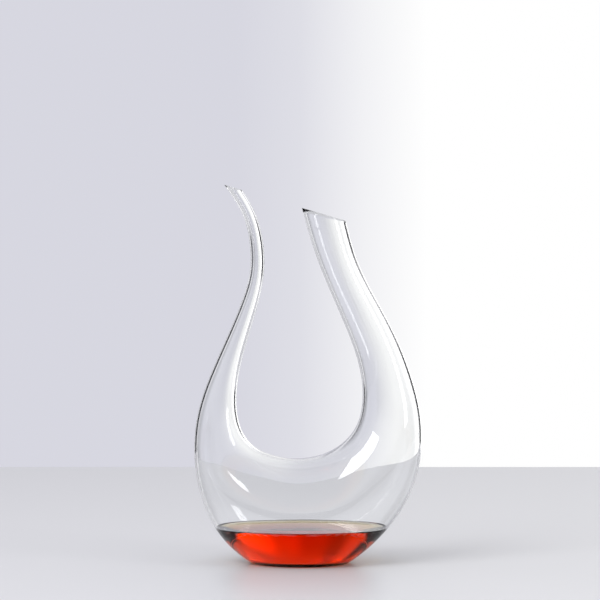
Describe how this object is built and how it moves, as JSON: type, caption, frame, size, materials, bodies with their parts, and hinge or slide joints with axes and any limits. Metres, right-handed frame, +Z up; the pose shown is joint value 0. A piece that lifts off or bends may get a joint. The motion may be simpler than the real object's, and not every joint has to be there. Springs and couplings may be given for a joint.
{
  "type": "wine decanter",
  "caption": "U-shaped blown-glass wine decanter with a slim pouring neck, a wide filling arm, a flat foot and some red wine inside",
  "frame": {"origin": "centre of the foot, on the surface that the decanter stands on", "axes": "+Z up; +X towards the filling arm, away from the pouring neck; +Y square to the plane of the U, which is the XZ plane"},
  "size_m": [0.2108, 0.1094, 0.35],
  "materials": {
    "clear_glass": "polished",
    "red_wine": "polished"
  },
  "bodies": {
    "root": {"vessel": "clear_glass", "wine": "red_wine"}
  },
  "joints": []
}
